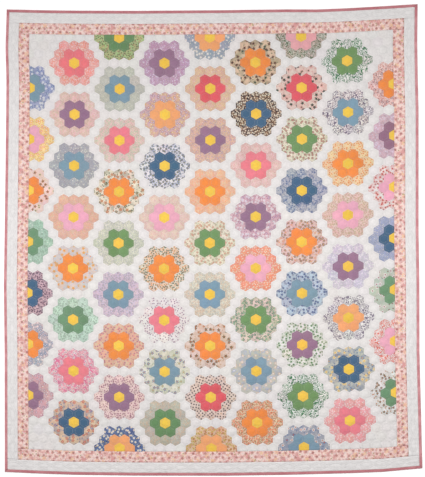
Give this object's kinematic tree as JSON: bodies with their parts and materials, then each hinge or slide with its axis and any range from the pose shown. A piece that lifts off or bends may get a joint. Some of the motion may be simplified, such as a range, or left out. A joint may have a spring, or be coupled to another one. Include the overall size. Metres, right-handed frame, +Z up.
{
  "type": "patchwork quilt",
  "caption": "Full-size patchwork quilt lying flat: hexagon patches sewn into flowers between white paths, with a print border, a plain quilted border and a rose binding.",
  "frame": {"origin": "under the middle of the quilt, on the surface that it lies on", "axes": "+X across the quilt, +Y along its length towards the end that is up in the picture, +Z up out of its face"},
  "size_m": [1.8324, 2.0642, 0.0049],
  "materials": {
    "patchwork": "matte printed and plain cotton in many colours on white",
    "print_border": "matte peach calico with small dark flowers",
    "plain_border": "matte off-white cotton muslin, hand quilted",
    "binding": "matte rose cotton"
  },
  "bodies": {
    "root": {"patchwork_centre": "patchwork", "print_border_left": "print_border", "print_border_right": "print_border", "print_border_top": "print_border", "print_border_bottom": "print_border", "plain_border_left": "plain_border", "plain_border_right": "plain_border", "plain_border_top": "plain_border", "plain_border_bottom": "plain_border", "binding_left": "binding", "binding_right": "binding", "binding_top": "binding", "binding_bottom": "binding"}
  },
  "joints": []
}
